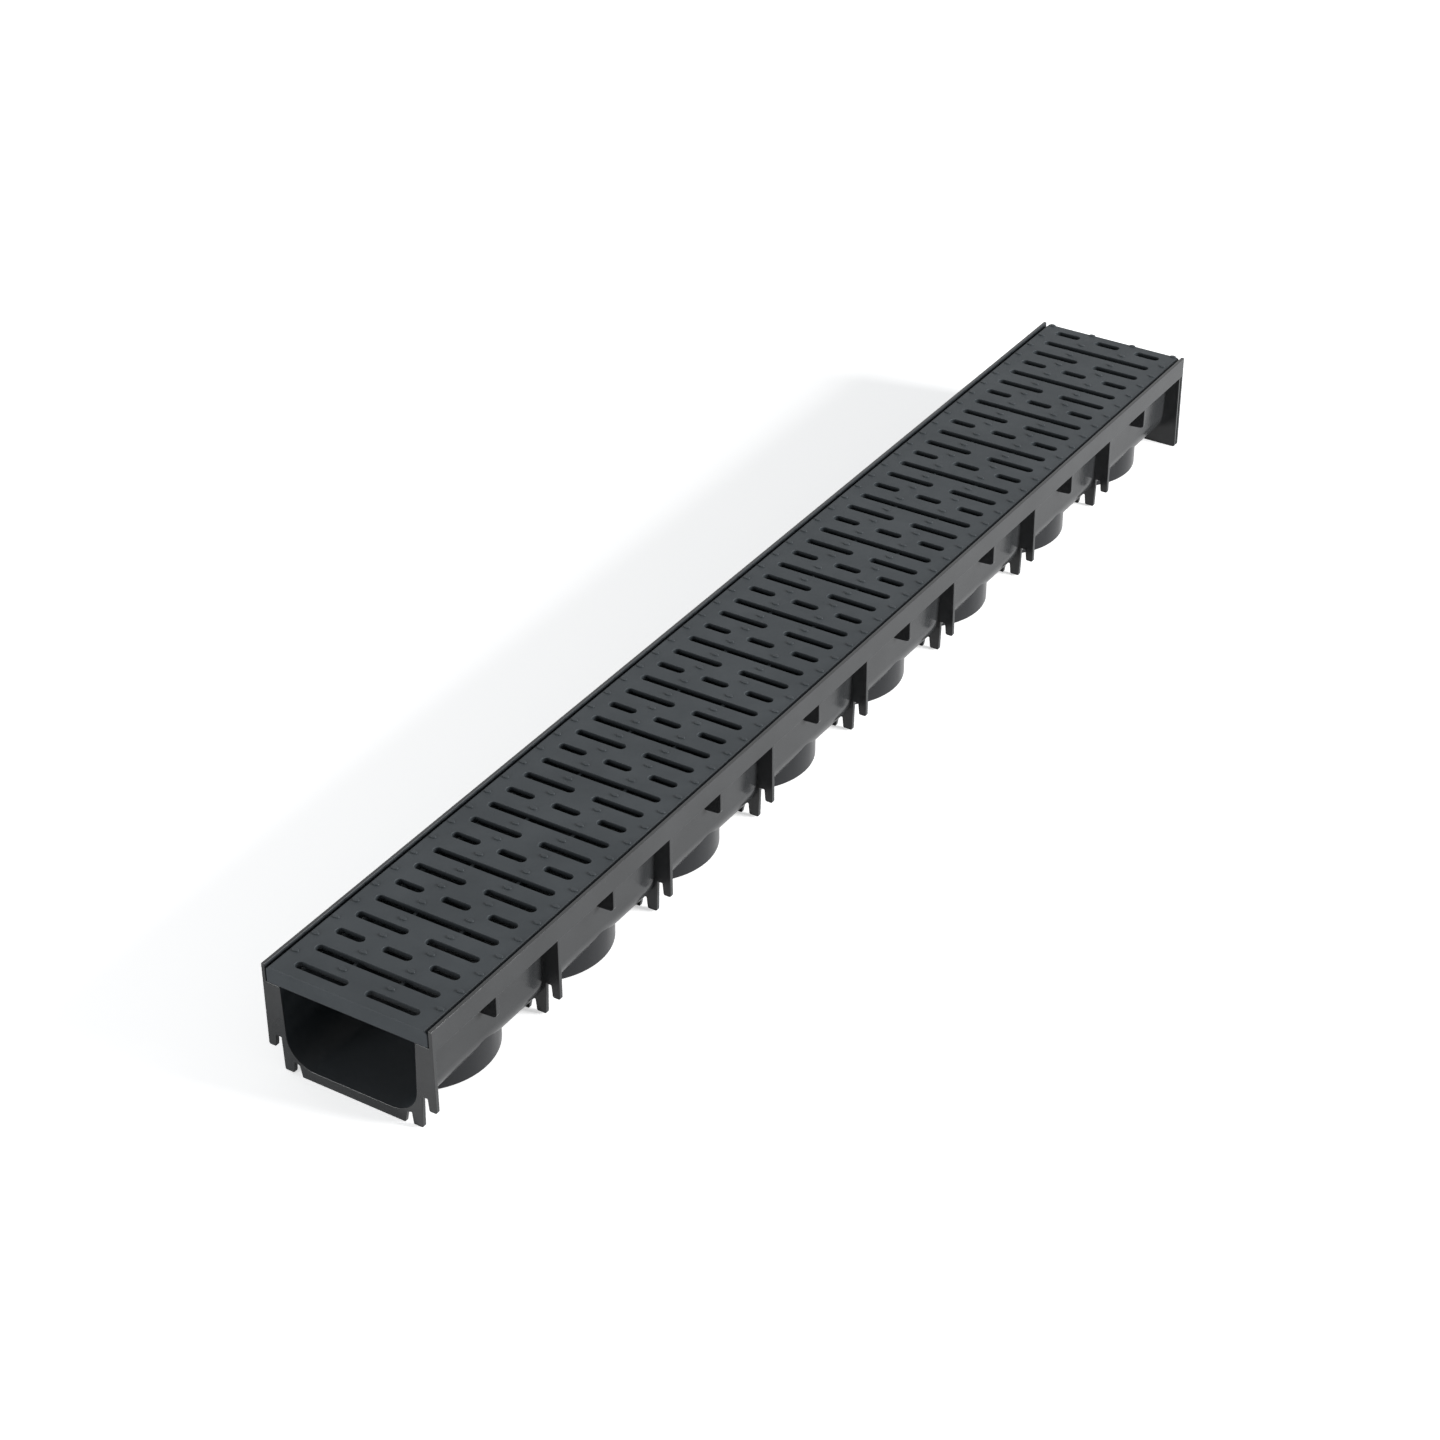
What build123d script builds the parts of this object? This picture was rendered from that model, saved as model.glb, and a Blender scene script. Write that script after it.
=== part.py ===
from build123d import *
from math import atan2, cos, tan
import os

# Surface channel drain for paths and patios, with its lift-out slotted grate.
# Millimetres. X runs across the channel, Y along it, Z up from the ground,
# and the origin is at the bottom centre of the whole.

# Channel body
run_length = 1000.0          # near face to far face, what one channel adds to a run
channel_width = 125.0
channel_height = 77.0
rail_wall = 2.5              # upright walls that frame the grate
rail_round = 0.8
seat_depth = 13.0            # the grate's seat, below the rail tops
seat_width = 10.3            # each ledge, from the rail to the mouth of the trough
seat_thickness = 3.0

# Water trough between the seats
trough_lean = 1.9            # each wall leans in by this much at the floor
trough_floor = 7.5           # inside floor above the ground
trough_corner = 20.0         # inside radius of the lower corners
trough_wall = 2.2

# Near flange and ribs: plates across the channel, each with two fingers a side and a foot bar
plate_thickness = 3.0
bay_count = 8
bay_lead = 2.2               # the bays' even spacing starts and ends this far inside the channel
outer_finger_width = 6.3     # at the root, as the other widths here
outer_finger_lift = 16.0     # tip above the ground
outer_notch_width = 3.8
outer_notch_top = 25.0
inner_finger_width = 8.7
inner_finger_lift = 1.0
inner_notch_width = 3.7
inner_notch_top = 8.3
inner_notch_slant = 1.4      # the notch's roof climbs with the trough's curve
finger_taper = 0.8           # on each side of a finger, from root to tip
finger_chamfer = 0.9         # at the tips' corners
foot_slant = 1.6             # the foot bar's ends slant in by this much

# Far flange: two plain plates with a slot between them, open at the sides and below
far_plate_thickness = 2.2
far_slot_width = 1.7
far_plate_chamfer = 1.2      # at the bottom corners

# Small webs under the rails, near the middle of each bay
web_thickness = 3.0
web_offset = 2.0             # nearer than the bay's middle
web_drop = 13.0              # below the seat, at the outside
web_slope = 3.5              # and deeper by this much at the trough wall

# Outlet collars under the trough, closed by its floor until one is cut out
collar_diameter = 100.0
collar_wall = 2.4
collar_lift = 1.0

# Keepers on the far face, which hold the next channel's near flange
coupling_gap = 3.4           # room for that flange
keeper_thickness = 2.6
keeper_drop = 3.0            # below the roof of the outer notch
keeper_lap = 0.5             # past the outer and inner notches
keeper_clearance = 1.5       # round the next channel's trough
keeper_chamfer = 1.2         # at the bottom corners
stem_clearance = 0.4         # between a stem and the notch that drops over it

# Grate
grate_side_gap = 1.2         # to the rail, on each side
grate_end_gap = 0.5          # at the far end; the near end is flush
grate_sink = 0.8             # the deck's top below the rail tops
deck_thickness = 3.6
skirt_wall = 2.5
grate_corner = 2.0
grate_chamfer = 0.5          # along the deck's top edges
rib_wall = 2.2               # ribs across the long slots, and a bar along one side of each
rib_depth = 6.0

# Rows of slots: a pair, one long, then three short, over and over
slot_width = 6.5
slot_end_flats = 8           # flats round a slot's two ends; kept few, because the slots are many
slot_margin = 13.2           # from the grate's side to a row's end
slot_bridge = 13.7           # between slots in a row
slot_row_pitch = 19.54
first_row = 11.45            # from the near end
last_row_margin = 5.0        # at the least, from the far end

# Heights and places that follow from these
touch = 0.01
keeper_reach = coupling_gap + keeper_thickness
near_face = -(run_length + keeper_reach) / 2
far_face = near_face + run_length
half_width = channel_width / 2
seat_height = channel_height - seat_depth
seat_underside = seat_height - seat_thickness

bay_pitch = (run_length - plate_thickness - 2 * bay_lead) / bay_count
bay_start = near_face + plate_thickness + bay_lead
rib_faces = [bay_start + i * bay_pitch for i in range(1, bay_count)]
bay_middles = [bay_start - plate_thickness / 2 + (i + 0.5) * bay_pitch for i in range(bay_count)]

# Centre of the trough's rounded lower corner, between the leaning wall and the floor
trough_mouth = channel_width - 2 * (rail_wall + seat_width)
wall_lean = atan2(trough_lean, seat_height - trough_floor)
trough_foot = trough_mouth / 2 - trough_lean
corner_x = trough_foot + trough_corner * (tan(wall_lean) - 1 / cos(wall_lean))
corner_z = trough_floor + trough_corner

# Finger and notch edges across the plates, counted inwards from the side
outer_notch_out = half_width - outer_finger_width
outer_notch_in = outer_notch_out - outer_notch_width
inner_notch_out = outer_notch_in - inner_finger_width
foot_half = inner_notch_out - inner_notch_width

keeper_top = outer_notch_top - keeper_drop
keeper_width = outer_notch_out - foot_half + 2 * keeper_lap

grate_width = channel_width - 2 * (rail_wall + grate_side_gap)
grate_length = run_length - grate_end_gap
grate_middle = near_face + grate_length / 2
grate_top = channel_height - grate_sink
deck_underside = grate_top - deck_thickness

# Slot lengths, so that every kind of row is as wide as the others
long_slot = grate_width - 2 * slot_margin
pair_slot = (long_slot - slot_bridge) / 2
short_slot = (long_slot - 2 * slot_bridge) / 3
row_count = 1 + int((grate_length - first_row - last_row_margin) / slot_row_pitch)
slot_rows = [near_face + first_row + i * slot_row_pitch for i in range(row_count)]


def upright(y):
    """A plane across the channel at y; what is extruded from it grows towards the near end."""
    return Plane.XZ.offset(-y)


def trough_corners(wall):
    """The four corners of the trough's outline before rounding, wall outside its inner face."""
    top = trough_mouth / 2 + wall
    foot = top - trough_lean
    floor = trough_floor - wall
    return [(-top, seat_height), (-foot, floor), (foot, floor), (top, seat_height)]


def plate_edge():
    """Right half of a flange's or rib's outline, from the foot bar round to the seat."""
    return [
        (0, 0),
        (foot_half - foot_slant, 0),
        (foot_half, inner_notch_top),
        (inner_notch_out, inner_notch_top + inner_notch_slant),
        (inner_notch_out + finger_taper, inner_finger_lift),
        (outer_notch_in - finger_taper, inner_finger_lift),
        (outer_notch_in, outer_notch_top),
        (outer_notch_out, outer_notch_top),
        (outer_notch_out + finger_taper, outer_finger_lift),
        (half_width, outer_finger_lift),
        (half_width, seat_height),
        (0, seat_height),
    ]


with BuildPart() as channel:
    # Trough and rail block, drawn end on and run the whole length
    with BuildSketch(upright(far_face)):
        with Locations((0, seat_underside)):
            Rectangle(
                channel_width, channel_height - seat_underside, align=(Align.CENTER, Align.MIN)
            )
    extrude(amount=run_length)
    with BuildSketch(upright(far_face)) as trough_outside:
        with BuildLine():
            Polyline(*trough_corners(trough_wall), close=True)
        make_face()
        fillet(trough_outside.vertices().group_by(Axis.Y)[0], trough_corner + trough_wall)
    extrude(amount=run_length)

    # Near flange and ribs share one outline with its fingers
    with BuildSketch(
        upright(near_face + plate_thickness), *[upright(y) for y in rib_faces]
    ) as plates:
        with BuildLine():
            Polyline(*plate_edge())
            mirror(about=Plane.YZ)
        make_face()
        for lift in (inner_finger_lift, outer_finger_lift):
            tips = plates.vertices().filter_by_position(Axis.Y, lift - touch, lift + touch)
            chamfer(tips, finger_chamfer)
    extrude(amount=plate_thickness)

    # Far flange
    inner_plate_face = far_face - far_plate_thickness - far_slot_width
    with BuildSketch(upright(far_face), upright(inner_plate_face)) as far_plates:
        Rectangle(channel_width, seat_height, align=(Align.CENTER, Align.MIN))
        chamfer(far_plates.vertices().group_by(Axis.Y)[0], far_plate_chamfer)
    extrude(amount=far_plate_thickness)

    # Webs under the rails
    with BuildSketch(*[upright(y - web_offset + web_thickness / 2) for y in bay_middles]):
        with BuildLine():
            Polyline(
                (half_width, seat_underside),
                (half_width, seat_underside - web_drop),
                (trough_foot, seat_underside - web_drop - web_slope),
                (trough_foot, seat_underside),
                close=True,
            )
        make_face()
        mirror(about=Plane.YZ)
    extrude(amount=web_thickness)

    # Outlet collars, rising into the trough's rounded corners
    with BuildSketch(Plane.XY.offset(collar_lift)):
        with Locations(*[(0, y) for y in bay_middles]):
            Circle(collar_diameter / 2)
            Circle(collar_diameter / 2 - collar_wall, mode=Mode.SUBTRACT)
    extrude(amount=corner_z - collar_lift)

    # Keepers: plates beside the next trough, on stems that its notches drop over
    with BuildSketch(upright(far_face + keeper_reach)) as keepers:
        with Locations((foot_half - keeper_lap, 0)):
            Rectangle(keeper_width, keeper_top, align=Align.MIN)
        with Locations((corner_x, corner_z)):
            Circle(trough_corner + trough_wall + keeper_clearance, mode=Mode.SUBTRACT)
        chamfer(keepers.vertices().group_by(Axis.Y)[0], keeper_chamfer)
        mirror(about=Plane.YZ)
    extrude(amount=keeper_thickness)
    with BuildSketch(upright(far_face + coupling_gap)):
        with Locations((outer_notch_in + stem_clearance, inner_finger_lift)):
            Rectangle(
                outer_notch_width - 2 * stem_clearance,
                keeper_top - 2 * inner_finger_lift,
                align=Align.MIN,
            )
        with Locations((foot_half + stem_clearance, inner_finger_lift)):
            Rectangle(
                inner_notch_width - 2 * stem_clearance,
                inner_notch_top - 2 * inner_finger_lift,
                align=Align.MIN,
            )
        mirror(about=Plane.YZ)
    extrude(amount=coupling_gap)

    # Hollow of the trough, and the recess that the grate lies in
    with BuildSketch(upright(far_face)) as trough_inside:
        with BuildLine():
            Polyline(*trough_corners(0), close=True)
        make_face()
        fillet(trough_inside.vertices().group_by(Axis.Y)[0], trough_corner)
    extrude(amount=run_length, mode=Mode.SUBTRACT)
    with BuildSketch(upright(far_face)):
        with Locations((0, seat_height)):
            Rectangle(
                channel_width - 2 * rail_wall, seat_depth, align=(Align.CENTER, Align.MIN)
            )
    extrude(amount=run_length, mode=Mode.SUBTRACT)

    # Outer top edges of the rails
    rail_tops = channel.edges().filter_by(Axis.Y).group_by(Axis.Z)[-1]
    fillet(rail_tops.sort_by(Axis.X)[0], rail_round)
    rail_tops = channel.edges().filter_by(Axis.Y).group_by(Axis.Z)[-1]
    fillet(rail_tops.sort_by(Axis.X)[-1], rail_round)

channel.part.label = "channel"


with BuildPart() as grate:
    # Deck with a skirt all round
    with BuildSketch(Plane.XY.offset(seat_height)) as grate_outline:
        with Locations((0, grate_middle)):
            Rectangle(grate_width, grate_length)
        fillet(grate_outline.vertices(), grate_corner)
    extrude(amount=grate_top - seat_height)
    chamfer(grate.faces().sort_by(Axis.Z)[-1].edges(), grate_chamfer)
    with BuildSketch(Plane.XY.offset(seat_height)):
        with Locations((0, grate_middle)):
            Rectangle(grate_width - 2 * skirt_wall, grate_length - 2 * skirt_wall)
    extrude(amount=deck_underside - seat_height, mode=Mode.SUBTRACT)

    # Stiffening under the deck: two ribs across each long slot, and a bar that they start from
    with BuildSketch(Plane.XY.offset(deck_underside)):
        with Locations(*[(0, y) for y in slot_rows[1::3]]):
            with GridLocations(short_slot + slot_bridge, 0, 2, 1):
                Rectangle(rib_wall, slot_row_pitch)
        with Locations(*[(0, y - slot_row_pitch / 2) for y in slot_rows[1::3]]):
            Rectangle(grate_width - 2 * skirt_wall, rib_wall)
    extrude(amount=-rib_depth)

    # Slots, through the deck only
    with BuildSketch(Plane.XY.offset(grate_top)):
        for kind, (length, count) in enumerate([(pair_slot, 2), (long_slot, 1), (short_slot, 3)]):
            with Locations(*[(0, y) for y in slot_rows[kind::3]]):
                with GridLocations(length + slot_bridge, 0, count, 1):
                    Rectangle(length - slot_width, slot_width)
                    with GridLocations(length - slot_width, 0, 2, 1):
                        RegularPolygon(
                            slot_width / 2,
                            slot_end_flats,
                            major_radius=False,
                            rotation=180 / slot_end_flats,
                        )
    extrude(amount=-deck_thickness, mode=Mode.SUBTRACT)

grate.part.label = "grate"


os.makedirs("parts", exist_ok=True)
export_step(channel.part, "parts/channel.step")
export_step(grate.part, "parts/grate.step")
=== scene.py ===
import math

import bmesh
import bpy
from mathutils import Matrix, Vector
from mathutils.geometry import delaunay_2d_cdt


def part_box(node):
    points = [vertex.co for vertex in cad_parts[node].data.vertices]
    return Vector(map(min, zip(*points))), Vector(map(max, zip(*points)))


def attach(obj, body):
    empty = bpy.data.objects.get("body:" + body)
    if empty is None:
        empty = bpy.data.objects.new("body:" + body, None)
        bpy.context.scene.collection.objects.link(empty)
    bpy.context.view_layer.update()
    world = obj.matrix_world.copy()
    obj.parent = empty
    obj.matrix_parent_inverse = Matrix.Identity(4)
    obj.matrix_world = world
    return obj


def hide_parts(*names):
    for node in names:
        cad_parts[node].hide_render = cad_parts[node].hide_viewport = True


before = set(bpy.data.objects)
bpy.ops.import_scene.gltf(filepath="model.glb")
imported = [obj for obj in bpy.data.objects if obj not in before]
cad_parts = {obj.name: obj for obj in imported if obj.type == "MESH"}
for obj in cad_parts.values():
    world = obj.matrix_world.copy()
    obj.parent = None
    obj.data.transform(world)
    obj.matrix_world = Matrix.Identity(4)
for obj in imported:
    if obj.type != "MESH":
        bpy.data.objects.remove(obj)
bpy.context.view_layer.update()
channelLow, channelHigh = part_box("channel")
grateLow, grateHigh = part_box("grate")
mm = 0.001
print("frame loaded, channel", [round(v, 4) for v in channelHigh - channelLow])


# Outlines are lists of (across, up) or (across, along) points, anticlockwise.
# Corners are lists of (across, up, radius, steps), which roundedOutline turns into outlines.

edgeShare = 0.48              # of an edge that one rounding may take
leastReach = 1e-7             # a smaller rounding is left out, and corners this near are one
leastTurn = 0.02              # radians, a straighter corner isn't rounded
mitreLimit = 0.35             # keeps shifted corners from running far out


def arcPoints(centre, radius, start, end, steps):
    points = []
    for i in range(steps + 1):
        angle = math.radians(start + (end - start) * i / steps)
        points.append((centre[0] + radius * math.cos(angle), centre[1] + radius * math.sin(angle)))
    return points


def circle(centre, radius, sides):
    return arcPoints(centre, radius, 0, 360, sides)[:-1]


def flipped(corners):
    # the same corners on the other side of the middle plane
    return [(-corner[0], *corner[1:]) for corner in reversed(corners)]


def mirrored(rightHalf):
    # all corners from the right half's, which run anticlockwise
    return rightHalf + flipped(rightHalf)


def roundedOutline(corners):
    outline = []
    for i, (across, up, radius, steps) in enumerate(corners):
        here = Vector((across, up))
        back = Vector(corners[i - 1][:2]) - here
        ahead = Vector(corners[(i + 1) % len(corners)][:2]) - here
        turn = math.pi - back.angle(ahead)
        reach = min(radius * math.tan(turn / 2), back.length * edgeShare, ahead.length * edgeShare)
        if reach < leastReach or turn < leastTurn:
            outline.append(tuple(here))
            continue
        first, last = here + back.normalized() * reach, here + ahead.normalized() * reach
        bisector = (back.normalized() + ahead.normalized()).normalized()
        size = reach / math.tan(turn / 2)
        centre = here + bisector * (size / math.cos(turn / 2))
        a, b = first - centre, last - centre
        swing = math.atan2(a.x * b.y - a.y * b.x, a.dot(b))
        for k in range(steps + 1):
            outline.append(tuple(centre + Matrix.Rotation(swing * k / steps, 2) @ a))
    return outline


def shifted(outline, distance):
    # moves every edge of an outline inwards by distance
    moved = []
    for i, point in enumerate(outline):
        here = Vector(point)
        before = (here - Vector(outline[i - 1])).normalized()
        after = (Vector(outline[(i + 1) % len(outline)]) - here).normalized()
        normalBefore, normalAfter = Vector((-before.y, before.x)), Vector((-after.y, after.x))
        middle = (normalBefore + normalAfter).normalized()
        mitre = max(mitreLimit, middle.dot(normalAfter))
        moved.append(tuple(here + middle * (distance / mitre)))
    return moved


def rimSteps(rim, steps=2):
    # (inset, depth) pairs round a quarter circle, from the face to the side
    quarter = [math.pi / 2 * k / steps for k in range(steps + 1)]
    return [(rim * (1 - math.sin(a)), rim * (1 - math.cos(a))) for a in quarter]


def upright(x, z, y):
    return Vector((x, y, z))


def level(x, y, z):
    return Vector((x, y, z))


def addRings(mesh, outline, profile, place):
    # one ring of corners for each (inset, height) of the profile, joined by faces
    rings = [[mesh.verts.new(place(u, v, height)) for u, v in shifted(outline, inset)]
             for inset, height in profile]
    joinRings(mesh, rings)
    return rings


def joinRings(mesh, rings):
    for lower, upper in zip(rings, rings[1:]):
        count = len(lower)
        for i in range(count):
            j = (i + 1) % count
            mesh.faces.new((lower[i], lower[j], upper[j], upper[i]))


def closeRings(mesh, rings):
    mesh.faces.new(list(reversed(rings[0])))
    mesh.faces.new(rings[-1])


def slab(mesh, outline, low, high, rim, place):
    # a plate with the outline's shape and rounded rims, between low and high on its third axis
    profile = [(inset, low + depth) for inset, depth in rimSteps(rim)]
    profile += [(inset, high - depth) for inset, depth in reversed(rimSteps(rim))]
    closeRings(mesh, addRings(mesh, outline, profile, place))


def finishPiece(mesh, name, node, material):
    bmesh.ops.recalc_face_normals(mesh, faces=mesh.faces)
    data = bpy.data.meshes.new(name)
    mesh.to_mesh(data)
    mesh.free()
    for face in data.polygons:
        face.use_smooth = True
    data.materials.append(material)
    piece = bpy.data.objects.new(name, data)
    bpy.context.scene.collection.objects.link(piece)
    normals = piece.modifiers.new("normals", "WEIGHTED_NORMAL")
    normals.weight = 90
    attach(piece, "root")
    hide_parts(node)
    print("made", name, len(data.polygons), "faces")


class Sum:
    # a socket that can be used in sums, which add their Math nodes
    def __init__(self, shader, socket):
        self.shader, self.socket = shader, socket

    def calc(self, operation, first, second=0.0):
        values = {0: first, 1: second}
        return self.shader.add("ShaderNodeMath", {"operation": operation}, values)[0]

    def __abs__(self):
        return self.calc("ABSOLUTE", self)

    def __pow__(self, other):
        return self.calc("POWER", self, other)

    def __add__(self, other):
        return self.calc("ADD", self, other)

    def __sub__(self, other):
        return self.calc("SUBTRACT", self, other)

    def __rsub__(self, other):
        return self.calc("SUBTRACT", other, self)

    def __mul__(self, other):
        return self.calc("MULTIPLY", self, other)

    __radd__ = __add__
    __rmul__ = __mul__

    def atLeast(self, other):
        return self.calc("MAXIMUM", self, other)

    def backAndForth(self, distance):
        # runs up to distance and back to 0, again and again
        return self.calc("PINGPONG", self, distance)


def findSocket(sockets, key):
    # by its number or its identifier
    if isinstance(key, int):
        return sockets[key]
    return next(socket for socket in sockets if socket.identifier == key)


class Outputs:
    def __init__(self, shader, node):
        self.shader, self.node = shader, node

    def __getitem__(self, key):
        return Sum(self.shader, findSocket(self.node.outputs, key))


class Shader:
    # the nodes of a new material or world
    def __init__(self, owner):
        self.owner = owner
        owner.use_nodes = True
        self.tree = owner.node_tree
        self.tree.nodes.clear()

    def add(self, kind, settings, values):
        # settings first, such as an operation, then a value or link for each socket
        node = self.tree.nodes.new(kind)
        for key, setting in settings.items():
            setattr(node, key, setting)
        for key, value in values.items():
            socket = findSocket(node.inputs, key)
            if isinstance(value, Sum):
                self.tree.links.new(value.socket, socket)
            else:
                socket.default_value = value
        return Outputs(self, node)

    def spread(self, value, low, high, toLow=0.0, toHigh=1.0):
        # maps low to toLow and high to toHigh, and holds outside them
        return self.add("ShaderNodeMapRange", {"clamp": True},
                        {"Value": value, "From Min": low, "From Max": high,
                         "To Min": toLow, "To Max": toHigh})["Result"]

    def above(self, value, limit, soft):
        # 0 up to the limit, 1 from soft beyond it
        return self.spread(value, limit, limit + soft)

    def below(self, value, limit, soft):
        # 1 up to the limit, 0 from soft beyond it
        return self.spread(value, limit, limit + soft, 1.0, 0.0)

    def within(self, value, low, high, soft):
        # 1 between low and high, with soft edges inside them
        return self.above(value, low, soft) * self.below(value, high - soft, soft)

    def blend(self, factor, first, second):
        # mixes two colours
        return self.add("ShaderNodeMix", {"data_type": "RGBA"},
                        {0: factor, "A_Color": first, "B_Color": second})["Result_Color"]

    def stretch(self, place, scales):
        return self.add("ShaderNodeVectorMath", {"operation": "MULTIPLY"},
                        {0: place, 1: scales})["Vector"]

    def noise(self, place, scale, detail, roughness):
        return self.add("ShaderNodeTexNoise", {},
                        {"Vector": place, "Scale": scale, "Detail": detail,
                         "Roughness": roughness})["Fac"]


def screenColour(red, green, blue):
    # a colour as seen on a screen, 0 to 255, turned into the shader's own
    linear = [(v / 255 / 12.92) if v < 11 else ((v / 255 + 0.055) / 1.055) ** 2.4
              for v in (red, green, blue)]
    return (*linear, 1.0)


# both plastics share these, each noise is (cells a metre, detail, roughness)
plasticNoise = {
    "clouds": (22, 4, 0.6),
    "cloudLimits": (0.35, 0.68),
    "patches": (130, 5, 0.65),
    "patchLimits": (0.3, 0.7),
    "scratches": (1, 4, 0.7),
    "scratchScales": (900, 45, 900),      # long ones, along the part
    "scuffLimits": (0.34, 0.5),
    "grain": (2, 0.6),                    # detail, roughness
    "coarseGrain": (3, 0.5),
    "coarseness": 5,                      # times the grain's size
    "grainShare": 0.6,
    "patchRoughness": (-0.04, 0.05),
    "scuffRoughness": 0.12,
    "bumpStrength": 0.6,
    "ior": 1.49,
}


def mouldedPlastic(name, look, innerShadeMask, shadeMask=None):
    shader, noises = Shader(bpy.data.materials.new(name)), plasticNoise
    place = shader.add("ShaderNodeTexCoord", {}, {})["Object"]
    separate = shader.add("ShaderNodeSeparateXYZ", {}, {0: place})
    axes = [separate[axis] for axis in ("X", "Y", "Z")]

    def colour(key):
        return screenColour(*look[key])

    clouds = shader.noise(place, *noises["clouds"])
    patches = shader.noise(place, *noises["patches"])
    scratches = shader.noise(shader.stretch(place, noises["scratchScales"]), *noises["scratches"])
    clouded = shader.spread(clouds, *noises["cloudLimits"])
    scuffed = shader.spread(scratches * patches, *noises["scuffLimits"]) * look["scuffs"]
    tone = shader.blend(clouded, colour("darkColour"), colour("colour"))
    tone = shader.blend(scuffed, tone, colour("paleColour"))
    # painted shade: the inner colour darkens hollows and hidden faces, and the shade colour
    # darkens further places
    inner = innerShadeMask(shader, *axes)
    tone = shader.blend(inner, tone, colour("innerColour"))
    if shadeMask:
        shaded = shadeMask(shader, *axes) * (1.0 - inner)
        tone = shader.blend(shaded, tone, colour("shadeColour"))

    rough = shader.spread(inner, 0.0, 1.0, look["roughness"], look["innerRoughness"])
    rough = rough + shader.spread(patches, *noises["patchLimits"], *noises["patchRoughness"])
    rough = rough + scuffed * noises["scuffRoughness"]

    grain = shader.noise(place, look["grainScale"], *noises["grain"])
    coarse = shader.noise(place, look["grainScale"] / noises["coarseness"], *noises["coarseGrain"])
    height = grain * noises["grainShare"] + coarse * (1 - noises["grainShare"])
    bump = shader.add("ShaderNodeBump", {},
                      {"Strength": noises["bumpStrength"], "Distance": look["grainDepth"],
                       "Height": height})["Normal"]
    surface = shader.add("ShaderNodeBsdfPrincipled", {},
                         {"Base Color": tone, "Roughness": rough, "Normal": bump,
                          "Specular IOR Level": look["specular"], "IOR": noises["ior"]})
    shader.add("ShaderNodeOutputMaterial", {}, {"Surface": surface["BSDF"]})
    print("material", name)
    return shader.owner


grateSettings = {
    "colour": (63, 67, 70),
    "paleColour": (75, 78, 80),
    "darkColour": (55, 59, 62),
    "innerColour": (44, 48, 51),      # painted shade on the slot walls, underside and the sides by the rails, also on the foot and studs
    "roughness": 0.52,
    "innerRoughness": 0.52,
    "specular": 0.19,
    "scuffs": 0.35,
    "grainScale": 1900,               # of the spark eroded texture, in cells a metre
    "grainDepth": 0.015 * mm,

    # where the inner painted shade starts, and how soft its edges are
    "soft": 0.3 * mm,
    "skirtLap": 0.2 * mm,             # how far it reaches into the skirt
    "slotDepth": 0.5 * mm,            # below the deck
    "ends": 0.3 * mm,                 # kept clear of the near and far sides
    "foot": 0.4 * mm,
    # the studs' raised part gets studShare of the inner painted shade
    "studMargin": 0.05 * mm,
    "studSoft": 0.1 * mm,
    "studShare": 0.7,

    "deck": 3.6 * mm,
    "skirt": 2.5 * mm,
    "corner": 0.8 * mm,
    "cornerSteps": 5,
    "innerCorner": 0.5 * mm,
    "innerCornerSteps": 2,
    "footRound": 0.35 * mm,
    "edgeRound": 0.6 * mm,
    "edgeSteps": 3,
    "sideSpread": 0.6 * mm,       # the long sides stand out this much at the foot,
    "sideLean": 1.5 * mm,         # and lean in this much at the deck, over sideLeanDepth
    "sideLeanDepth": 2.4 * mm,
    "slotCounts": (2, 1, 3),      # in each row, again and again
    "slotWidth": 6.5 * mm,
    "slotMargin": 13.2 * mm,      # from the grate's side to a row's end
    "slotBridge": 13.7 * mm,      # between slots in a row
    "slotRound": 0.4 * mm,        # rim of a slot
    "slotFoot": 0.2 * mm,         # its lower rim
    "slotEndSteps": 12,
    "rowPitch": 19.54 * mm,
    "firstRow": 11.45 * mm,
    "lastRowMargin": 5.0 * mm,
    "ribWall": 2.2 * mm,
    "ribDepth": 6.0 * mm,
    "ribRound": 0.3 * mm,
    "sunk": 0.3 * mm,             # how far ribs reach into the deck
    "studAcross": 2.6 * mm,       # half of its length across the grate
    "studAlong": 1.6 * mm,
    "studHeight": 0.8 * mm,
    "studPlaces": (17.8 * mm, 53.5 * mm),     # from the middle, on both sides
    "studSides": 14,
    # shares of its width and height, from within the deck up over its edge
    "studProfile": ((1.0, -0.7), (1.0, 0.3), (0.95, 0.75), (0.88, 0.93), (0.7, 1.0)),
}


def paintedShadeUnderDeck(shader, x, y, z):
    # painted shade: 1 under the deck, in the slots, on the skirt's long sides and foot, and less
    # on the studs
    look, soft, top = grateSettings, grateSettings["soft"], grateHigh.z
    margin = look["skirt"] - look["skirtLap"]
    under = shader.within(x, grateLow.x + margin, grateHigh.x - margin, soft)
    under = under * shader.within(y, grateLow.y + margin, grateHigh.y - margin, soft)
    under = under * shader.below(z, top - look["slotDepth"], soft)
    sides = shader.above(abs(x), grateHigh.x - look["sideLean"] - look["edgeRound"], soft)
    sides = sides * shader.below(z, top - look["edgeRound"], soft)
    sides = sides * shader.within(y, grateLow.y + look["ends"], grateHigh.y - look["ends"], soft)
    foot = shader.below(z, grateLow.z + look["foot"], soft)
    studs = shader.within(z, top + look["studMargin"],
                          top + look["studHeight"] - look["studMargin"], look["studSoft"])
    return under.atLeast(sides).atLeast(foot).atLeast(studs * look["studShare"])


def slotOutline(centreX, centreY, length, width, steps):
    half = (length - width) / 2
    right = arcPoints((centreX + half, centreY), width / 2, -90, 90, steps)
    left = arcPoints((centreX - half, centreY), width / 2, 90, 270, steps)
    return right + left


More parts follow.
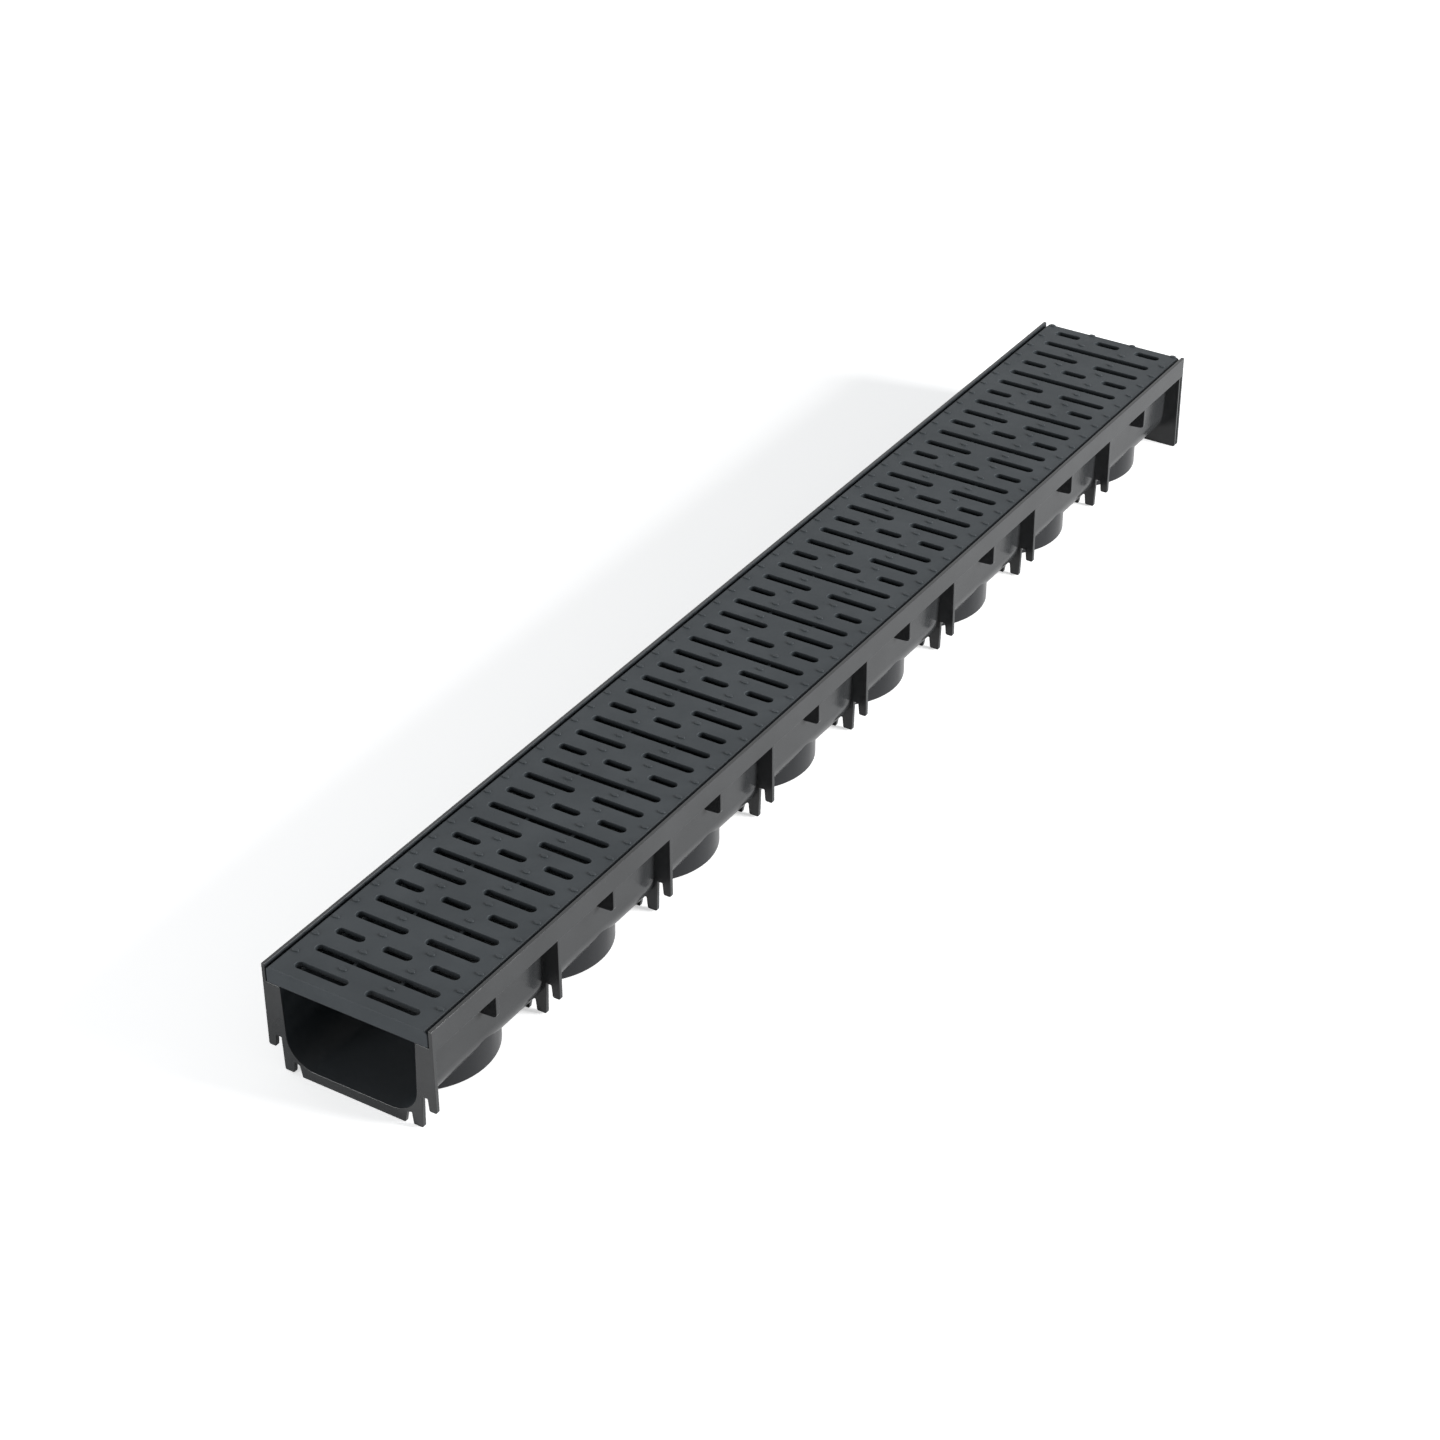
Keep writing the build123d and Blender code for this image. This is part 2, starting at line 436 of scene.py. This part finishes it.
def fillWithHoles(mesh, outerRing, holeRings, upwards):
    # a flat face between one outer ring and the rings inside it, all of them convex
    corners, ringOf, edges = [], [], []
    for number, ring in enumerate([outerRing] + holeRings):
        start = len(corners)
        edges += [(start + i, start + (i + 1) % len(ring)) for i in range(len(ring))]
        corners += ring
        ringOf += [number] * len(ring)
    flat = [Vector((v.co.x, v.co.y)) for v in corners]
    found = delaunay_2d_cdt(flat, edges, [], 1, leastReach)
    for triangle in found[2]:
        picked = [found[3][i][0] for i in triangle]
        rings = {ringOf[i] for i in picked}
        if len(rings) > 1 or rings == {0}:      # others lie within a hole
            mesh.faces.new([corners[i] for i in (picked if upwards else reversed(picked))])


def makeGrate(shape, material):
    mesh = bmesh.new()
    top, bottom = grateHigh.z, grateLow.z
    underside = top - shape["deck"]

    def outlineLeaning(lean):
        side, corner = grateHigh.x - lean, (shape["corner"], shape["cornerSteps"])
        return roundedOutline([(side, grateLow.y, *corner), (side, grateHigh.y, *corner),
                               (-side, grateHigh.y, *corner), (-side, grateLow.y, *corner)])

    inner = shifted([(grateHigh.x, grateLow.y), (grateHigh.x, grateHigh.y),
                     (grateLow.x, grateHigh.y), (grateLow.x, grateLow.y)], shape["skirt"])
    inner = roundedOutline([(x, y, shape["innerCorner"], shape["innerCornerSteps"])
                            for x, y in inner])

    longSlot = grateHigh.x - grateLow.x - 2 * shape["slotMargin"]
    kinds = [(count, (longSlot - (count - 1) * shape["slotBridge"]) / count)
             for count in shape["slotCounts"]]
    usable = grateHigh.y - grateLow.y - shape["firstRow"] - shape["lastRowMargin"]
    rowCount = 1 + int(usable / shape["rowPitch"])
    rows = [grateLow.y + shape["firstRow"] + i * shape["rowPitch"] for i in range(rowCount)]
    slots = []
    for i, y in enumerate(rows):
        count, length = kinds[i % len(kinds)]
        for k in range(count):
            x = (k - (count - 1) / 2) * (length + shape["slotBridge"])
            slots.append(slotOutline(x, y, length, shape["slotWidth"], shape["slotEndSteps"]))

    # outside of the skirt, from its foot up over the rounded edge to the deck
    foot, wide = shape["footRound"], -shape["sideSpread"]
    steps = [(wide, foot, bottom), (wide, 0.0, bottom + foot),
             (wide, 0.0, top - shape["sideLeanDepth"])]
    steps += [(shape["sideLean"], inset, top - depth)
              for inset, depth in reversed(rimSteps(shape["edgeRound"], shape["edgeSteps"]))]
    outer = [[mesh.verts.new(level(x, y, z)) for x, y in shifted(outlineLeaning(lean), inset)]
             for lean, inset, z in steps]
    joinRings(mesh, outer)

    # inside of the skirt, from its foot up to the deck's underside
    profile = [(-foot, bottom), (0.0, bottom + foot), (0.0, underside)]
    hollow = addRings(mesh, inner, profile, level)
    fillWithHoles(mesh, outer[0], [hollow[0]], False)

    profile = [(-inset, top - depth)
               for inset, depth in rimSteps(shape["slotRound"], shape["edgeSteps"])]
    profile += [(0.0, underside + shape["slotFoot"]), (-shape["slotFoot"], underside)]
    slotRings = [addRings(mesh, slot, profile, level) for slot in slots]
    fillWithHoles(mesh, outer[-1], [rings[0] for rings in slotRings], True)
    fillWithHoles(mesh, hollow[-1], [rings[-1] for rings in slotRings], False)

    # a bar after each row but the last, and two ribs across each long slot
    halfWall, halfPitch = shape["ribWall"] / 2, shape["rowPitch"] / 2
    halfBar = grateHigh.x - shape["skirt"] + shape["sunk"]
    ribX = (min(length for count, length in kinds) + shape["slotBridge"]) / 2
    for i, y in enumerate(rows[:-1]):
        bar = y + halfPitch
        strips = [(-halfBar, halfBar, bar - halfWall, bar + halfWall)]
        if kinds[i % len(kinds)][0] == 1:
            strips += [(x - halfWall, x + halfWall, y - halfPitch, bar) for x in (-ribX, ribX)]
        for left, right, near, far in strips:
            outline = [(left, near), (right, near), (right, far), (left, far)]
            slab(mesh, outline, underside - shape["ribDepth"], underside + shape["sunk"],
                 shape["ribRound"], level)

    # low studs after each row
    for y in rows:
        for x in shape["studPlaces"]:
            for side in (-1, 1):
                addStud(mesh, side * x, y + halfPitch, top, shape)
    finishPiece(mesh, "grate_detailed", "grate", material)


def addStud(mesh, x, y, deck, shape):
    rings = []
    for width, lift in shape["studProfile"]:
        ring = circle((0, 0), width, shape["studSides"])
        rings.append([mesh.verts.new(level(x + u * shape["studAcross"], y + v * shape["studAlong"],
                                           deck + lift * shape["studHeight"])) for u, v in ring])
    joinRings(mesh, rings)
    closeRings(mesh, rings)


makeGrate(grateSettings, mouldedPlastic("gratePlastic", grateSettings, paintedShadeUnderDeck))


channelSettings = {
    "colour": (46, 47, 48),
    "paleColour": (62, 63, 63),
    "darkColour": (39, 40, 41),
    "innerColour": (34, 38, 41),      # painted shade inside the trough and in the grate's recess
    "shadeColour": (28, 29, 31),      # painted shade on the collars, and on the seam under the grate's near side
    "roughness": 0.2,
    "innerRoughness": 0.5,
    "specular": 0.5,
    "scuffs": 0.3,
    "grainScale": 2600,
    "grainDepth": 0.006 * mm,

    # where those two painted shades start, and how soft their edges are
    "ends": 0.3 * mm,                 # kept clear of the end faces
    "endSoft": 0.5 * mm,
    "intoWall": 1.5 * mm,             # how deep in the wall the inner painted shade ends
    "wallSoft": 0.4 * mm,
    "belowSeat": 0.4 * mm,
    "seatSoft": 0.6 * mm,
    "railLap": 0.2 * mm,              # how far it reaches into the rails
    "railSoft": 0.4 * mm,
    "recessLap": 0.3 * mm,
    "collarLap": 0.4 * mm,            # outside and inside of a collar's wall
    "collarSoft": 0.2 * mm,
    "collarTop": 22 * mm,
    "collarTopSoft": 2 * mm,
    "seamDepth": 0.8 * mm,
    "seamHalf": 0.7 * mm,             # above and below the seat
    "seamSoft": 0.2 * mm,

    "runLength": 1000 * mm,       # near face to far face
    "railWall": 2.5 * mm,
    "railRound": 0.6 * mm,
    "railSteps": 4,
    "seatDepth": 13 * mm,
    "seatWidth": 10.3 * mm,
    "seatThickness": 3 * mm,
    "lean": 1.9 * mm,             # each trough wall leans in by this much
    "floor": 7.5 * mm,
    "corner": 20 * mm,
    "cornerSteps": 12,
    "wall": 2.2 * mm,
    "plate": 3 * mm,              # the near flange and the ribs
    "bays": 8,
    "bayLead": 2.2 * mm,
    "outerFinger": 6.3 * mm,
    "outerLift": 16 * mm,
    "outerNotch": 3.8 * mm,
    "outerRoof": 25 * mm,
    "innerFinger": 8.7 * mm,
    "innerLift": 1 * mm,
    "innerNotch": 3.7 * mm,
    "innerRoof": 8.3 * mm,
    "roofSlant": 1.4 * mm,
    "fingerTaper": 0.8 * mm,
    "tipRound": 1.2 * mm,
    "tipSteps": 3,
    "notchRound": 0.5 * mm,
    "footSlant": 1.6 * mm,
    "farPlate": 2.2 * mm,
    "farSlot": 1.7 * mm,
    "farRound": 1.4 * mm,
    "web": 3 * mm,
    "webOffset": 2 * mm,          # nearer than the bay's middle
    "webDrop": 15.8 * mm,
    "webSlope": 1 * mm,
    "webRound": 3 * mm,
    "webSteps": 4,
    "collarRadius": 50 * mm,
    "collarWall": 2.4 * mm,
    "collarLift": 1 * mm,
    "collarSides": 96,
    "couplingGap": 3.4 * mm,
    "keeper": 2.6 * mm,
    "keeperDrop": 3 * mm,
    "keeperLap": 0.5 * mm,
    "keeperClearance": 1.5 * mm,
    "keeperSteps": 8,
    "stemClearance": 0.4 * mm,
    "rim": 0.3 * mm,              # rounding along the plates' edges
    "smallRound": 0.4 * mm,
    "smallSteps": 2,
    "bite": 1.0 * mm,             # how far plates and collars reach into the trough's wall
    "hair": 0.02 * mm,            # keeps faces that would coincide apart
}


def troughFoot(shape):
    # across, from the middle to where a leaning inner wall meets the floor's level
    return channelHigh.x - shape["railWall"] - shape["seatWidth"] - shape["lean"]


def bayPlaces(shape):
    # along: the end of the near flange's lead, the bays' pitch and the first bay's middle
    start = channelLow.y + shape["plate"] + shape["bayLead"]
    pitch = (shape["runLength"] - shape["plate"] - 2 * shape["bayLead"]) / shape["bays"]
    return start, pitch, start - shape["plate"] / 2 + pitch / 2


def paintedShadeInTrough(shader, x, y, z):
    # painted shade: 1 on the trough's inner face, found by how far it lies from the middle of each
    # rounded corner, and in the recess that holds the grate
    look = channelSettings
    seat, corner = channelHigh.z - look["seatDepth"], look["corner"]
    slope = look["lean"] / (seat - look["floor"])
    middle = troughFoot(look) + corner * (slope - math.hypot(1, slope))
    out = (abs(x) - middle).atLeast(0.0)
    down = (look["floor"] + corner - z).atLeast(0.0)
    distance = (out * out + down * down) ** 0.5
    trough = shader.below(distance, corner + look["intoWall"], look["wallSoft"])
    trough = trough * shader.below(z, seat - look["belowSeat"], look["seatSoft"])
    recess = shader.within(z, seat - look["recessLap"], channelHigh.z + look["recessLap"],
                           look["recessLap"])
    recess = recess * betweenRails(shader, x)
    along = shader.within(y, channelLow.y + look["ends"],
                          channelLow.y + look["runLength"] - look["ends"], look["endSoft"])
    return trough.atLeast(recess) * along


def betweenRails(shader, x):
    look = channelSettings
    limit = channelHigh.x - look["railWall"] + look["railLap"]
    return shader.below(abs(x), limit, look["railSoft"])


def paintedShadeOnCollars(shader, x, y, z):
    # painted shade: 1 on the collars' walls, by the distance from the nearest collar's axis, and
    # on the seam
    look = channelSettings
    start, pitch, firstMiddle = bayPlaces(look)
    along = (y - firstMiddle).backAndForth(pitch / 2)
    outer = look["collarRadius"] + look["collarLap"]
    inner = look["collarRadius"] - look["collarWall"] - look["collarLap"]
    wall = shader.within((x * x + along * along) ** 0.5, inner, outer, look["collarSoft"])
    wall = wall * shader.below(z, look["collarTop"], look["collarTopSoft"])
    seat = channelHigh.z - look["seatDepth"]
    seam = shader.within(z, seat - look["seamHalf"], seat + look["seamHalf"], look["seamSoft"])
    seam = seam * shader.below(y, channelLow.y + look["seamDepth"], look["seamSoft"])
    return wall.atLeast(seam * betweenRails(shader, x))


def makeChannel(shape, material):
    mesh = bmesh.new()
    nearFace, half, top = channelLow.y, channelHigh.x, channelHigh.z
    farFace = nearFace + shape["runLength"]
    seat = top - shape["seatDepth"]
    under = seat - shape["seatThickness"]
    mouth = half - shape["railWall"] - shape["seatWidth"]
    hair, rim, bite = shape["hair"], shape["rim"], shape["bite"]
    small = (shape["smallRound"], shape["smallSteps"])
    lowest = under + shape["smallRound"]
    sharp = (0, 1)

    def wallFoot(wall):
        return troughFoot(shape) + wall, shape["floor"] - wall

    def wallAcross(wall, z):
        foot, floor = wallFoot(wall)
        return foot + shape["lean"] * (z - floor) / (seat - floor)

    def bend(wall):
        # the rounded lower corner of the trough's section, wall outside its inner face
        return (*wallFoot(wall), shape["corner"] + wall, shape["cornerSteps"])

    railAndHollow = [
        (half, top, shape["railRound"], shape["railSteps"]),
        (half - shape["railWall"], top, *small),
        (half - shape["railWall"], seat, *small),
        (mouth, seat, *small),
        bend(0),
    ]
    bittenWall = [
        (half - hair, lowest, rim, shape["smallSteps"]),
        (wallAcross(shape["wall"] - bite, lowest), lowest, *sharp),
        bend(shape["wall"] - bite),
    ]

    # trough, seats and rails in one section, whose end faces have their own corners so that
    # the long faces' shading stays level
    section = [bend(shape["wall"]), (wallAcross(shape["wall"], under), under, *small),
               (half, under, *small)]
    section = shifted(roundedOutline(mirrored(section + railAndHollow)), hair)
    rings = [[mesh.verts.new(upright(x, z, y)) for x, z in section]
             for y in (nearFace + 2 * rim, farFace - 2 * rim)]
    joinRings(mesh, rings)
    for ring in (rings[0], list(reversed(rings[1]))):
        mesh.faces.new([mesh.verts.new(corner.co) for corner in ring])

    # near flange and ribs, with two fingers a side and a foot bar
    outerOut = half - shape["outerFinger"]
    outerIn = outerOut - shape["outerNotch"]
    innerOut = outerIn - shape["innerFinger"]
    footHalf = innerOut - shape["innerNotch"]
    taper = shape["fingerTaper"]
    tip = (shape["tipRound"], shape["tipSteps"])
    notch = (shape["notchRound"], shape["smallSteps"])
    fingers = [
        (footHalf - shape["footSlant"], 0, *small),
        (footHalf, shape["innerRoof"], *notch),
        (innerOut, shape["innerRoof"] + shape["roofSlant"], *notch),
        (innerOut + taper, shape["innerLift"], *tip),
        (outerIn - taper, shape["innerLift"], *tip),
        (outerIn, shape["outerRoof"], *notch),
        (outerOut, shape["outerRoof"], *notch),
        (outerOut + taper, shape["outerLift"], *tip),
        (half, shape["outerLift"], *tip),
    ]
    flange = roundedOutline(mirrored(fingers + railAndHollow))
    slab(mesh, flange, nearFace, nearFace + shape["plate"], rim, upright)
    start, pitch, firstMiddle = bayPlaces(shape)
    rib = roundedOutline(mirrored(fingers + bittenWall))
    for i in range(1, shape["bays"]):
        slab(mesh, rib, start + i * pitch - shape["plate"], start + i * pitch, rim, upright)

    # far flange, two plain plates
    foot = [(half, 0, shape["farRound"], shape["tipSteps"])]
    slab(mesh, roundedOutline(mirrored(foot + railAndHollow)),
         farFace - shape["farPlate"], farFace, rim, upright)
    inwards = farFace - shape["farPlate"] - shape["farSlot"]
    slab(mesh, roundedOutline(mirrored(foot + bittenWall)),
         inwards - shape["farPlate"], inwards, rim, upright)

    # webs under the rails and collars under the trough
    inside = wallAcross(shape["wall"] - bite, under)
    drop = shape["webDrop"] + shape["webSlope"] * (half - inside) / (half - wallFoot(0)[0])
    web = [
        (inside, under - drop, *sharp),
        (half - hair, under - shape["webDrop"], shape["webRound"], shape["webSteps"]),
        (half - hair, lowest, rim, shape["smallSteps"]),
        (inside, lowest, *sharp),
    ]
    for i in range(shape["bays"]):
        middle = firstMiddle + i * pitch
        low = middle - shape["webOffset"] - shape["web"] / 2
        for corners in (web, flipped(web)):
            slab(mesh, roundedOutline(corners), low, low + shape["web"], rim, upright)
        addCollar(mesh, middle, shape)

    # keepers on the far face, each on two stems
    keeperTop = shape["outerRoof"] - shape["keeperDrop"]
    centre = (wallFoot(0)[0] - shape["corner"], shape["floor"] + shape["corner"])
    clear = shape["corner"] + shape["wall"] + shape["keeperClearance"]
    left, right = footHalf - shape["keeperLap"], outerOut + shape["keeperLap"]
    high = math.degrees(math.asin((keeperTop - centre[1]) / clear))
    low = -math.degrees(math.acos((left - centre[0]) / clear))
    keeper = [(left, 0, *tip), (right, 0, *tip), (right, keeperTop, *small)]
    keeper += [(x, z, *sharp) for x, z in arcPoints(centre, clear, high, low,
                                                    shape["keeperSteps"])]
    ease, lift = shape["stemClearance"], shape["innerLift"]
    stems = [(outerIn + ease, outerOut - ease, keeperTop - lift),
             (footHalf + ease, innerOut - ease, shape["innerRoof"] - lift)]
    back = farFace + shape["couplingGap"]
    for side, corners in ((1, keeper), (-1, flipped(keeper))):
        slab(mesh, roundedOutline(corners), back, back + shape["keeper"], rim, upright)
        for stemIn, stemOut, roof in stems:
            near, far = sorted((side * stemIn, side * stemOut))
            outline = [(near, lift), (far, lift), (far, roof), (near, roof)]
            slab(mesh, outline, farFace - 2 * rim, back + 2 * rim, hair, upright)
    finishPiece(mesh, "channel_detailed", "channel", material)


def addCollar(mesh, y, shape):
    # a ring whose top follows the trough's underside, inside its wall
    outer, inner = shape["collarRadius"], shape["collarRadius"] - shape["collarWall"]
    cornerX = troughFoot(shape) - shape["corner"]
    cornerZ = shape["floor"] + shape["corner"]
    middle = shape["corner"] + shape["wall"] - shape["bite"]
    low, rim = shape["collarLift"], shape["rim"]

    def roofAbove(x):
        out = max(0.0, abs(x) - cornerX)
        return cornerZ - math.sqrt(max(0.0, middle ** 2 - out ** 2))

    steps = [(inner, None)]
    steps += [(inner + inset, low + depth) for inset, depth in reversed(rimSteps(rim))]
    steps += [(outer - inset, low + depth) for inset, depth in rimSteps(rim)]
    steps += [(outer, None)]
    rings = [[mesh.verts.new(level(px, py, roofAbove(px) if z is None else z))
              for px, py in circle((0, y), radius, shape["collarSides"])]
             for radius, z in steps]
    joinRings(mesh, rings + [rings[0]])


makeChannel(channelSettings,
            mouldedPlastic("channelPlastic", channelSettings, paintedShadeInTrough, paintedShadeOnCollars))


cameraFit = {
    "azimuth": 32.506,
    "elevation": 33.235,
    "roll": -0.446,
    "lens": 80.05,
    "sensor": 36.0,
    "place": (0.97525, -1.62487, 1.23113),
    "clip": (0.05, 50),
}


def makeCamera(fit):
    data = bpy.data.cameras.new("photoCamera")
    data.lens, data.sensor_width = fit["lens"], fit["sensor"]
    data.clip_start, data.clip_end = fit["clip"]
    camera = bpy.data.objects.new("photoCamera", data)
    turn = Matrix.Rotation(math.radians(fit["azimuth"]), 4, "Z")
    turn = turn @ Matrix.Rotation(math.radians(90 - fit["elevation"]), 4, "X")
    turn = turn @ Matrix.Rotation(math.radians(fit["roll"]), 4, "Z")
    camera.matrix_world = Matrix.Translation(fit["place"]) @ turn
    bpy.context.scene.collection.objects.link(camera)
    bpy.context.scene.camera = camera


makeCamera(cameraFit)


studio = {
    "floorHalf": 8.0,
    "floorColour": (0.90, 0.90, 0.90, 1),
    "floorGlow": 0.5,                 # makes the floor white where it is looked at
    "floorBounce": (0.42, 0.42, 0.43, 1),
    "white": (1, 1, 1, 1),
    "skyColour": (0.93, 0.97, 1.0, 1),
    "skyStrength": 0.26,
}

# name, power in watts, size, place, point that it is aimed at
lamps = [
    ("sideLamp", 150, 1.1, (2.5, 0.6, 0.8), (0, 0, 0.03)),
    ("topLamp", 2, 2.2, (-0.4, 0.4, 2.7), (0, 0, 0.03)),
    ("frontLamp", 47, 1.1, (-1.1, -2.5, 0.6), (0, -0.2, 0.03)),
    ("leftLamp", 18, 1.6, (-2.7, -0.1, 0.7), (0, 0, 0.03)),
]


def makeFloor(look):
    mesh = bmesh.new()
    half = look["floorHalf"]
    corners = [(-half, -half), (half, -half), (half, half), (-half, half)]
    mesh.faces.new([mesh.verts.new((x, y, 0)) for x, y in corners])
    data = bpy.data.meshes.new("floor")
    mesh.to_mesh(data)
    mesh.free()
    floor = bpy.data.objects.new("floor", data)
    bpy.context.scene.collection.objects.link(floor)
    shader = Shader(bpy.data.materials.new("floorPaint"))
    paper = shader.add("ShaderNodeBsdfDiffuse", {}, {"Color": look["floorColour"]})["BSDF"]
    bounce = shader.add("ShaderNodeBsdfDiffuse", {}, {"Color": look["floorBounce"]})["BSDF"]
    glow = shader.add("ShaderNodeEmission", {},
                      {"Color": look["white"], "Strength": look["floorGlow"]})["Emission"]
    lit = shader.add("ShaderNodeAddShader", {}, {0: paper, 1: glow})[0]
    path = shader.add("ShaderNodeLightPath", {}, {})
    inGloss = path["Is Glossy Ray"].atLeast(path["Is Transmission Ray"])
    unseen = shader.add("ShaderNodeMixShader", {}, {0: inGloss, 1: bounce, 2: paper})[0]
    seen = shader.add("ShaderNodeMixShader", {}, {0: path["Is Camera Ray"], 1: unseen, 2: lit})[0]
    shader.add("ShaderNodeOutputMaterial", {}, {"Surface": seen})
    data.materials.append(shader.owner)


def makeLights(look):
    for name, power, size, place, target in lamps:
        data = bpy.data.lights.new(name, "AREA")
        data.energy, data.size = power, size
        lamp = bpy.data.objects.new(name, data)
        lamp.location = place
        aim = Vector(target) - Vector(place)
        lamp.rotation_euler = aim.to_track_quat("-Z", "Y").to_euler()
        bpy.context.scene.collection.objects.link(lamp)
    shader = Shader(bpy.data.worlds.new("studio"))
    sky = shader.add("ShaderNodeBackground", {},
                     {"Color": look["skyColour"], "Strength": look["skyStrength"]})[0]
    white = shader.add("ShaderNodeBackground", {}, {"Color": look["white"], "Strength": 1.0})[0]
    path = shader.add("ShaderNodeLightPath", {}, {})
    lookedAt = path["Is Camera Ray"].atLeast(path["Is Glossy Ray"])
    lookedAt = lookedAt.atLeast(path["Is Transmission Ray"])
    seen = shader.add("ShaderNodeMixShader", {}, {0: lookedAt, 1: sky, 2: white})[0]
    shader.add("ShaderNodeOutputWorld", {}, {"Surface": seen})
    bpy.context.scene.world = shader.owner


makeFloor(studio)
makeLights(studio)
bpy.context.scene.view_settings.view_transform = "Standard"
print("camera, floor and lights set")
